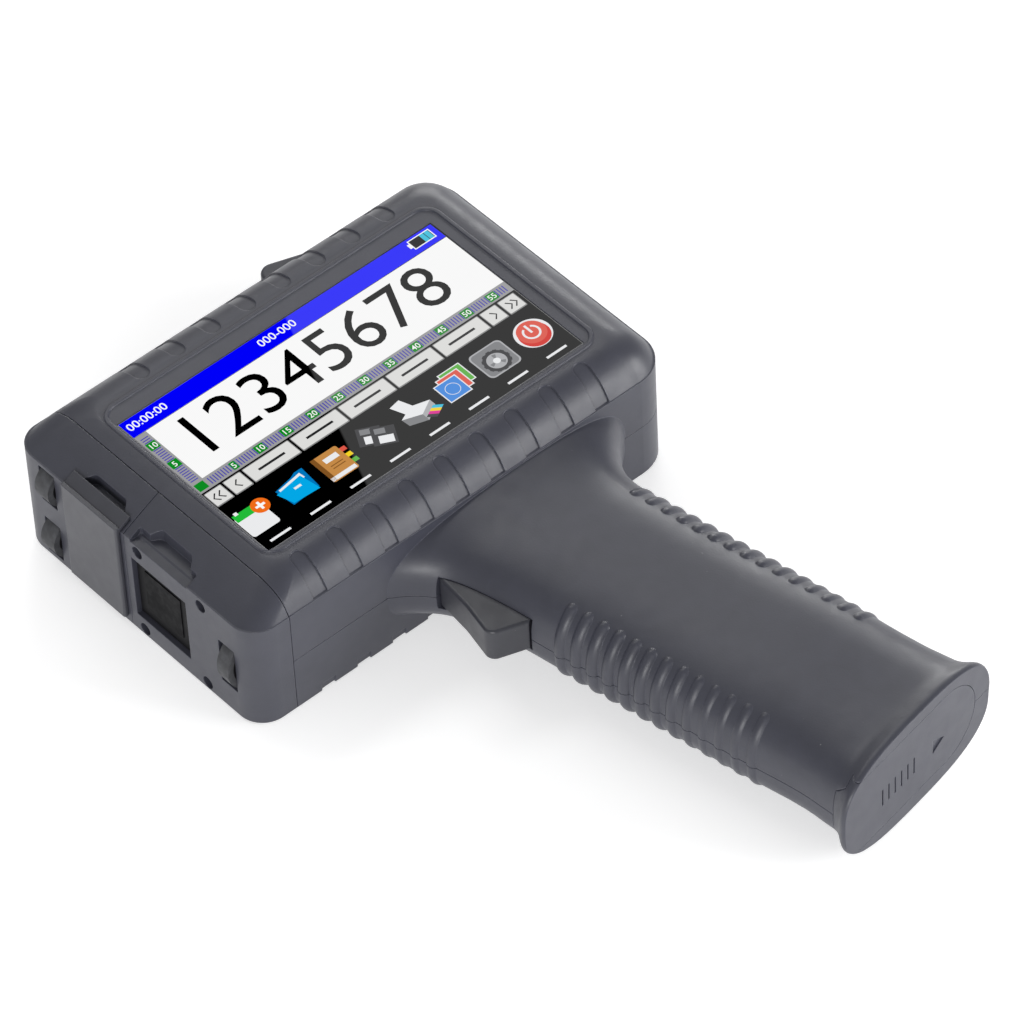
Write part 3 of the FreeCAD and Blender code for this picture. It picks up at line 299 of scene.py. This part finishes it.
def lit_paint(name, color):
    """Paint of the lit display: fine lines of picture cells, with a painted reflection over part of them.

    The reflection is painted: the picture is mixed towards white, starting at a slanted line that
    runs from the top edge to the bottom edge of the display.
    """
    material, tree, bsdf = shader(name)
    position = tree.nodes.new("ShaderNodeSeparateXYZ")
    tree.links.new(place_node(tree), position.inputs["Vector"])
    slant = tree.nodes.new("ShaderNodeMath")
    slant.operation = "MULTIPLY_ADD"
    slant.inputs[1].default_value = -SHEEN_SLOPE
    slant.inputs[2].default_value = 0.0
    tree.links.new(position.outputs["Y"], slant.inputs[0])
    along = tree.nodes.new("ShaderNodeMath")
    tree.links.new(position.outputs["X"], along.inputs[0])
    tree.links.new(slant.outputs["Value"], along.inputs[1])
    # Painted reflection: mixes the picture towards white right of the slanted line.
    painted_reflection = spread(tree, along.outputs["Value"], 0.0, SHEEN_STRENGTH,
                  SHEEN_START, SHEEN_START + SHEEN_SOFTNESS)
    pixels = tree.nodes.new("ShaderNodeTexWave")
    pixels.inputs["Scale"].default_value = 900.0
    pixels.inputs["Distortion"].default_value = 0.0
    tree.links.new(place_node(tree), pixels.inputs["Vector"])
    dim = [channel * 0.94 for channel in color]
    picture = shades(tree, pixels.outputs["Fac"], dim, color)
    painted_reflection_mix = tree.nodes.new("ShaderNodeMix")
    painted_reflection_mix.data_type = "RGBA"
    painted_reflection_mix.inputs["B"].default_value = (1.0, 1.0, 1.0, 1.0)
    tree.links.new(painted_reflection, painted_reflection_mix.inputs["Factor"])
    tree.links.new(picture, painted_reflection_mix.inputs["A"])
    tree.links.new(painted_reflection_mix.outputs["Result"], bsdf.inputs["Emission Color"])
    bsdf.inputs["Emission Strength"].default_value = DISPLAY_GLOW
    bsdf.inputs["Base Color"].default_value = (0.0, 0.0, 0.0, 1.0)
    bsdf.inputs["Specular IOR Level"].default_value = 0.0
    tree.links.new(spread(tree, noise(tree, 120.0), 0.3, 0.38), bsdf.inputs["Roughness"])
    tree.links.new(bump(tree, noise(tree, 2000.0), 0.05, 0.01 * MM), bsdf.inputs["Normal"])
    return material


def clear_glass(name):
    """Dark cover glass: only its border shows round the picture."""
    material, tree, bsdf = shader(name)
    smear = spread(tree, noise(tree, 40.0, 5.0, 1.2), 0.0, 1.0)
    tone = shades(tree, smear, (0.006, 0.006, 0.008), (0.012, 0.012, 0.014))
    tree.links.new(tone, bsdf.inputs["Base Color"])
    tree.links.new(spread(tree, noise(tree, 55.0, 4.0, 1.0), 0.06, 0.14), bsdf.inputs["Roughness"])
    tree.links.new(bump(tree, noise(tree, 30.0), 0.02, 0.05 * MM), bsdf.inputs["Normal"])
    bsdf.inputs["Coat Weight"].default_value = 0.5
    return material


CHARCOAL = (0.0425, 0.0440, 0.059)
SLOT_MATERIALS = {
    "housing": moulded("charcoal_abs", CHARCOAL, 0.40),
    "trigger": moulded("trigger_abs", (0.034, 0.035, 0.044), 0.36, 3200.0, 0.35),
    "cover": moulded("cover_abs", (0.046, 0.0470, 0.058), 0.38, 3200.0, 0.3),
    "rubber": rubber("roller_rubber", (0.035, 0.036, 0.04)),
    "glass": clear_glass("cover_glass"),
    "display": glossy("display_frame", (0.02, 0.02, 0.024), 0.3),
    "foam": rubber("foam", (0.03, 0.03, 0.03)),
    "circuit_board": glossy("solder_mask", (0.012, 0.12, 0.05), 0.32),
    "chips": moulded("chip_epoxy", (0.02, 0.02, 0.021), 0.5, 4000.0, 0.3, 0.1 * MM),
    "black_plastic": moulded("black_abs", (0.006, 0.006, 0.007), 0.5, 3000.0, 0.4, 0.2 * MM, 0.1),
    "steel": metal("plated_steel", (0.56, 0.57, 0.6), 0.3),
    "nickel": metal("nickel", (0.66, 0.63, 0.56), 0.25),
    "brass": metal("gold_contact", (0.8, 0.6, 0.25), 0.22),
    "nozzle": glossy("nozzle_foil", (0.005, 0.005, 0.006), 0.5, 0.06),
    "cable": glossy("polyimide", (0.5, 0.22, 0.04), 0.25),
    "cell_wrap": glossy("cell_wrap", (0.03, 0.12, 0.32), 0.25),
    "disc": glossy("encoder_film", (0.16, 0.16, 0.17), 0.2),
}


def dress_cad_nodes():
    """Give every CAD node the material of its slot."""
    for entry in frame["record"]["subparts"]:
        node = NODES[entry["node"]]
        node.data.materials.clear()
        node.data.materials.append(SLOT_MATERIALS[entry["material_slot"]])


# ----------------------------------------------------------------------------------------
# Picture on the screen: flat plates on the glass, placed in millimetres from its top left
# ----------------------------------------------------------------------------------------
GLASS_LOW, GLASS_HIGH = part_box("screen_glass")
SCREEN_LENGTH = 95.0
SCREEN_WIDTH = 53.9
SCREEN_LEFT = (GLASS_LOW.x + GLASS_HIGH.x) / 2 - SCREEN_LENGTH / 2 * MM
SCREEN_FAR = (GLASS_LOW.y + GLASS_HIGH.y) / 2 + SCREEN_WIDTH / 2 * MM
LAYER = 0.012 * MM
SHEET_FILL = 0.8
DIGIT_SCALE = 1.45
DISC_STEPS = 36
CORNER_STEPS = 6
RING_STEPS = 30

DISPLAY_GAMMA = 2.2

# Display colours, each channel 0 to 255.
PAINTS = {
    "blue_bar": (2, 2, 255), "white": (255, 255, 255), "black": (0, 0, 0),
    "ruler": (158, 158, 160), "tick": (84, 80, 172), "tag": (20, 140, 40),
    "button": (226, 226, 224), "button_edge": (140, 140, 140), "ink": (40, 40, 42),
    "bright_green": (40, 190, 60), "orange": (245, 110, 30), "paper": (240, 241, 243),
    "shade": (176, 177, 180), "sky": (10, 170, 235), "deep_sky": (5, 120, 190),
    "tan": (200, 140, 75), "spine": (130, 85, 40), "yellow": (250, 215, 40),
    "graphite": (60, 60, 63), "steel_grey": (130, 131, 134), "magenta": (225, 40, 150),
    "cyan": (60, 195, 225), "red": (215, 50, 40), "soft_blue": (70, 140, 225),
    "soft_red": (225, 90, 75), "soft_green": (95, 180, 70),
}


def linear(levels):
    """Linear colour from display levels."""
    return tuple((level / 255) ** DISPLAY_GAMMA for level in levels)


paint_materials = {name: lit_paint("lit_" + name, linear(levels))
                   for name, levels in PAINTS.items()}


class Drawing:
    """Flat artwork of several paints, collected into one object on the glass."""

    def __init__(self, name):
        self.name = name
        self.mesh = bmesh.new()
        self.paints = []

    def polygon(self, points, paint, level):
        """Thin plate with this outline; level stacks it over lower ones."""
        if paint not in self.paints:
            self.paints.append(paint)
        z = GLASS_HIGH.z + LAYER * (1 + level)
        corners = [self.mesh.verts.new((SCREEN_LEFT + x * MM, SCREEN_FAR - y * MM, z))
                   for x, y in points]
        face = self.mesh.faces.new(corners)
        face.normal_update()
        if face.normal.z < 0:
            face.normal_flip()
        face.material_index = self.paints.index(paint)

    def bar(self, x, y, width, height, paint, level, slant=0.0):
        """Rectangle from its top left corner, turned by slant degrees about its middle."""
        middle = (x + width / 2, y + height / 2)
        turn = math.radians(slant)
        points = []
        for dx, dy in ((-1, -1), (1, -1), (1, 1), (-1, 1)):
            px = dx * width / 2
            py = dy * height / 2
            points.append((middle[0] + px * math.cos(turn) - py * math.sin(turn),
                           middle[1] + px * math.sin(turn) + py * math.cos(turn)))
        self.polygon(points, paint, level)

    def disc(self, x, y, radius, paint, level, start=0.0, end=360.0):
        """Filled circle, or a sector from start to end in degrees."""
        steps = DISC_STEPS
        full = end - start >= 360.0
        points = [] if full else [(x, y)]
        for step in range(steps if full else steps + 1):
            angle = math.radians(start + (end - start) * step / steps)
            points.append((x + radius * math.cos(angle), y - radius * math.sin(angle)))
        self.polygon(points, paint, level)

    def rounded(self, x, y, width, height, radius, paint, level):
        """Rectangle with rounded corners."""
        points = []
        left = x + radius
        right = x + width - radius
        high = y + radius
        low = y + height - radius
        for cx, cy, start in ((right, high, 0), (left, high, 90), (left, low, 180), (right, low, -90)):
            for step in range(CORNER_STEPS + 1):
                angle = math.radians(start + 90 / CORNER_STEPS * step)
                points.append((cx + radius * math.cos(angle), cy - radius * math.sin(angle)))
        self.polygon(points, paint, level)

    def ring(self, x, y, outer, inner, paint, level, start=0.0, end=360.0):
        """Ring or arc, made of short four-sided pieces."""
        for step in range(RING_STEPS):
            angles = [math.radians(start + (end - start) * (step + k) / RING_STEPS) for k in (0, 1)]
            near = [(x + inner * math.cos(a), y - inner * math.sin(a)) for a in angles]
            away = [(x + outer * math.cos(a), y - outer * math.sin(a)) for a in reversed(angles)]
            self.polygon(near + away, paint, level)

    def digits(self, text, x, y, height, paint, level, weight=0.010):
        """Plain digits whose lower left corner is at x, y; weight thickens the strokes."""
        if paint not in self.paints:
            self.paints.append(paint)
        curve = bpy.data.curves.new("digits", "FONT")
        curve.body = text
        curve.size = height * DIGIT_SCALE
        curve.offset = height * weight
        curve.resolution_u = 4
        holder = bpy.data.objects.new("digits", curve)
        scene.collection.objects.link(holder)
        bpy.context.view_layer.update()
        flat = bpy.data.meshes.new_from_object(holder)
        first = len(self.mesh.faces)
        z = GLASS_HIGH.z + LAYER * (1 + level)
        origin = Matrix.Translation((SCREEN_LEFT + x * MM, SCREEN_FAR - y * MM, z))
        flat.transform(origin @ Matrix.Scale(MM, 4))
        self.mesh.from_mesh(flat)
        self.mesh.faces.ensure_lookup_table()
        for face in self.mesh.faces[first:]:
            face.material_index = self.paints.index(paint)
        bpy.data.objects.remove(holder)
        bpy.data.curves.remove(curve)

    def done(self):
        """Make the object: closed sheets just under one layer thick, riding on the housing."""
        top = list(self.mesh.faces)
        lifted = bmesh.ops.extrude_face_region(self.mesh, geom=top)
        for item in lifted["geom"]:
            if isinstance(item, bmesh.types.BMVert):
                item.co.z += LAYER * SHEET_FILL
        bmesh.ops.recalc_face_normals(self.mesh, faces=self.mesh.faces)
        data = bpy.data.meshes.new(self.name)
        self.mesh.to_mesh(data)
        self.mesh.free()
        for paint in self.paints:
            data.materials.append(paint_materials[paint])
        piece = bpy.data.objects.new(self.name, data)
        scene.collection.objects.link(piece)
        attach(piece, "housing")


# Heights of the display's rows, from its top edge, in millimetres.
BAR_BOTTOM = 5.6
CANVAS_TOP = 5.8
CANVAS_BOTTOM = 26.2
RULER_BOTTOM = 29.9
BUTTON_BOTTOM = 36.2
ICON_MIDDLE = 43.6
CAPTION_TOP = 51.5

# Widths and pitches along the display, in millimetres.
RULER_WIDTH = 3.4
TAG_PITCH = 7.85
KEY_GAP = 0.54
FIRST_ICON = 5.2
ICON_PITCH = 11.95
TAG_HALF_WIDTHS = {1: 0.8, 2: 1.35}


def draw_title_bar():
    """Blue bar with a clock, a counter and a battery gauge."""
    art = Drawing("screen_title_bar")
    art.bar(0, 0, SCREEN_LENGTH, BAR_BOTTOM, "blue_bar", 0)
    art.digits("00:00:00", 0.7, 3.6, 2.3, "white", 1)
    art.digits("000-000", 40.0, 3.6, 2.3, "white", 1)
    art.bar(87.0, 0.7, 6.6, 3.4, "white", 1)
    art.bar(86.3, 1.6, 0.7, 1.6, "white", 1)
    art.bar(87.3, 1.0, 6.0, 2.8, "black", 2)
    for x in (90.5, 91.9):
        art.bar(x, 1.0, 1.2, 2.8, "cyan", 3)
    art.done()


def draw_canvas():
    """White canvas with a plain row of digits as the message to print."""
    art = Drawing("screen_canvas")
    width = SCREEN_LENGTH - RULER_WIDTH
    art.bar(RULER_WIDTH, CANVAS_TOP, width, CANVAS_BOTTOM - CANVAS_TOP, "white", 0)
    art.digits("12345678", 6.6, 21.6, 13.6, "black", 1, -0.004)
    art.done()


def draw_rulers():
    """Rulers along the left and lower edge of the canvas, with numbered tags."""
    art = Drawing("screen_rulers")
    width = SCREEN_LENGTH - RULER_WIDTH
    art.bar(0, CANVAS_TOP, RULER_WIDTH, RULER_BOTTOM - CANVAS_TOP, "ruler", 0)
    art.bar(RULER_WIDTH, CANVAS_BOTTOM, width, RULER_BOTTOM - CANVAS_BOTTOM, "ruler", 0)
    pitch = TAG_PITCH / 10
    for index in range(1, 116):
        x = RULER_WIDTH + index * pitch
        if x < SCREEN_LENGTH - 0.5:
            art.bar(x - 0.16, CANVAS_BOTTOM + 0.7, 0.32, 2.3, "tick", 1)
    for index in range(1, 25):
        y = CANVAS_BOTTOM - index * pitch
        if y > BAR_BOTTOM + 0.8:
            art.bar(0.6, y - 0.16, 2.2, 0.32, "tick", 1)
    for index in range(1, 12):
        x = RULER_WIDTH + index * TAG_PITCH
        number = str(index * 5)
        half = TAG_HALF_WIDTHS[len(number)]
        art.bar(x - half, CANVAS_BOTTOM + 0.6, 2 * half, 2.6, "tag", 2)
        art.digits(number, x - half + 0.2, CANVAS_BOTTOM + 2.7, 1.6, "white", 3)
    for number, y in (("5", CANVAS_BOTTOM - TAG_PITCH), ("10", CANVAS_BOTTOM - 2 * TAG_PITCH)):
        half = TAG_HALF_WIDTHS[len(number)]
        art.bar(0.35, y - 1.3, 2.7, 2.6, "tag", 2)
        art.digits(number, 1.7 - half + 0.2, y + 0.85, 1.6, "white", 3)
    art.bar(0.3, CANVAS_BOTTOM + 0.5, 2.7, 2.6, "tag", 2)
    art.done()


def chevrons(art, x, y, count, way):
    """One or two angle marks on a button, pointing left or right."""
    for index in range(count):
        tip = x + (index - (count - 1) / 2) * 1.5 + 0.5 * way
        for side in (-1, 1):
            art.polygon([(tip, y), (tip - way * 1.1, y + side * 1.2), (tip - way * 0.75, y + side * 1.35),
                         (tip + way * 0.4, y)], "ink", 2)


def draw_buttons():
    """Row of raised keys; each wide key carries a plain line, the others carry angle marks."""
    art = Drawing("screen_buttons")
    art.bar(0, RULER_BOTTOM, SCREEN_LENGTH, BUTTON_BOTTOM - RULER_BOTTOM, "black", 0)
    middle = (RULER_BOTTOM + BUTTON_BOTTOM) / 2
    height = BUTTON_BOTTOM - RULER_BOTTOM - 1.0
    x = 0.2
    wide = ((13.8, 0),) + ((13.9, 0),) * 4
    keys = ((5.0, -2), (5.2, -1)) + wide + ((5.0, 1), (5.1, 2))
    for width, mark in keys:
        art.rounded(x, middle - height / 2, width, height, 0.3, "button_edge", 1)
        art.rounded(x + 0.2, middle - height / 2 + 0.2, width - 0.4, height - 0.55, 0.25, "button", 1.5)
        if mark:
            chevrons(art, x + width / 2, middle, abs(mark), 1 if mark > 0 else -1)
        else:
            art.bar(x + 3.0, middle - 0.35, width - 6.0, 0.7, "ink", 2)
        x += width + KEY_GAP
    art.done()


def new_icon(art, x, y):
    """White card with a green band and an orange plus."""
    art.rounded(x - 5.0, y - 2.6, 8.0, 7.6, 0.8, "paper", 1)
    art.bar(x - 4.8, y - 3.4, 5.6, 2.4, "bright_green", 2)
    art.bar(x - 4.0, y - 4.0, 1.0, 1.0, "paper", 3)
    art.disc(x + 2.4, y - 1.8, 2.35, "orange", 3)
    art.bar(x + 1.1, y - 2.15, 2.6, 0.7, "white", 4)
    art.bar(x + 2.05, y - 3.1, 0.7, 2.6, "white", 4)


def open_icon(art, x, y):
    """Blue folder with its front leaf open."""
    art.polygon([(x - 4.4, y - 2.6), (x + 1.0, y - 3.6), (x + 2.6, y - 4.3), (x + 4.8, y - 4.3),
                 (x + 4.2, y + 2.8), (x - 3.8, y + 3.4)], "deep_sky", 1)
    art.polygon([(x - 3.6, y - 2.4), (x + 3.4, y - 3.5), (x + 3.6, y - 1.6), (x - 3.4, y - 0.8)], "paper", 2)
    art.polygon([(x - 4.8, y - 1.6), (x + 3.0, y - 2.7), (x + 4.0, y + 3.4), (x - 3.4, y + 3.0)], "sky", 3)
    art.bar(x - 0.6, y - 0.7, 2.0, 0.7, "paper", 4)


def rename_icon(art, x, y):
    """Brown notebook with index tabs."""
    for dy, paint in ((-3.0, "soft_red"), (-0.8, "yellow"), (1.4, "soft_green")):
        art.bar(x + 2.6, y + dy, 1.9, 1.3, paint, 1)
    art.rounded(x - 4.6, y - 4.4, 7.6, 8.9, 0.6, "tan", 2)
    art.bar(x - 4.6, y + 3.0, 7.2, 1.2, "paper", 3)
    art.bar(x - 4.6, y - 4.4, 1.2, 8.6, "spine", 3)
    art.bar(x - 2.2, y - 2.8, 4.0, 1.6, "paper", 3)
    for dy in (0.0, 0.9):
        art.bar(x - 2.0, y + dy, 3.6, 0.25, "spine", 3)


def save_icon(art, x, y):
    """Pair of overlapping disks."""
    for dx, dy, level in ((-1.3, -1.1, 1), (1.3, 1.0, 4)):
        art.bar(x + dx - 2.9, y + dy - 2.9, 5.8, 5.8, "graphite", level, 28)
        art.bar(x + dx - 1.2, y + dy - 2.6, 2.6, 1.7, "steel_grey", level + 1, 28)
        art.bar(x + dx - 2.0, y + dy + 0.0, 3.6, 2.4, "paper", level + 1, 28)


def print_icon(art, x, y):
    """Desk printer with a sheet above and coloured strips below."""
    art.polygon([(x - 4.2, y - 4.6), (x - 1.0, y - 5.2), (x + 0.6, y - 0.8), (x - 2.4, y + 0.2)], "paper", 1)
    art.polygon([(x - 4.6, y + 0.2), (x - 0.2, y - 1.8), (x + 4.4, y - 0.4), (x + 0.2, y + 2.0)], "paper", 2)
    art.polygon([(x - 4.6, y + 0.2), (x + 0.2, y + 2.0), (x + 0.2, y + 4.4), (x - 4.4, y + 2.8)],
                "steel_grey", 2)
    art.polygon([(x + 0.2, y + 2.0), (x + 4.4, y - 0.4), (x + 4.4, y + 1.6), (x + 0.2, y + 4.4)], "shade", 2)
    for index, paint in enumerate(("graphite", "magenta", "yellow", "cyan")):
        start = x + 0.2 + index * 0.9
        art.polygon([(start, y + 3.4 - index * 0.5), (start + 0.9, y + 2.9 - index * 0.5),
                     (start + 2.9, y + 4.4 - index * 0.5), (start + 2.0, y + 4.9 - index * 0.5)], paint, 3)


def add_icon(art, x, y):
    """Three stacked tiles."""
    tiles = ((1.7, -1.6, "soft_green", 1), (0.2, -0.5, "soft_red", 3), (-1.4, 0.7, "soft_blue", 5))
    for dx, dy, paint, level in tiles:
        art.bar(x + dx - 3.3, y + dy - 3.3, 6.6, 6.6, "paper", level)
        art.bar(x + dx - 3.0, y + dy - 3.0, 6.0, 6.0, paint, level + 1)
    art.ring(x - 1.4, y + 0.7, 1.9, 1.75, "paper", 7)


def settings_icon(art, x, y):
    """Grey tile with a toothed wheel."""
    art.rounded(x - 4.8, y - 4.4, 9.6, 9.2, 1.4, "shade", 1)
    art.rounded(x - 4.4, y - 4.0, 8.8, 8.4, 1.2, "steel_grey", 2)
    art.disc(x, y + 0.9, 3.4, "graphite", 3)
    for index in range(12):
        angle = math.radians(index * 30)
        tooth_x = x + 3.2 * math.cos(angle)
        tooth_y = y + 0.9 + 3.2 * math.sin(angle)
        art.bar(tooth_x - 0.4, tooth_y - 0.5, 0.8, 1.0, "graphite", 3, index * 30)
    art.disc(x, y + 0.9, 2.5, "shade", 4)
    for index in range(3):
        art.disc(x, y + 0.9, 2.1, "steel_grey", 5, 60 + index * 120, 90 + index * 120)
    art.disc(x, y + 0.9, 0.9, "paper", 6)


def power_icon(art, x, y):
    """Red round switch with a stroke and an open ring."""
    art.disc(x, y, 4.7, "paper", 1)
    art.disc(x, y + 0.5, 4.0, "red", 2)
    art.disc(x, y - 0.5, 3.7, "soft_red", 3)
    art.ring(x, y - 0.5, 2.3, 1.75, "paper", 4, 120, 420)
    art.bar(x - 0.3, y - 3.2, 0.6, 2.9, "paper", 4)


def draw_icons():
    """Black strip with eight pictures; a plain line stands under each."""
    art = Drawing("screen_icon_strip")
    art.bar(0, BUTTON_BOTTOM, SCREEN_LENGTH, SCREEN_WIDTH - BUTTON_BOTTOM, "black", 0)
    icons = (new_icon, open_icon, rename_icon, save_icon, print_icon, add_icon, settings_icon,
             power_icon)
    for index, icon in enumerate(icons):
        x = FIRST_ICON + index * ICON_PITCH
        icon(art, x, ICON_MIDDLE)
        art.bar(x - 3.0, CAPTION_TOP, 6.0, 0.7, "paper", 1)
    art.done()


def make_screen_picture():
    """All rows of the display, from the top down."""
    draw_title_bar()
    draw_canvas()
    draw_rulers()
    draw_buttons()
    draw_icons()


make_camera()
make_studio()
dress_cad_nodes()
make_screen_picture()
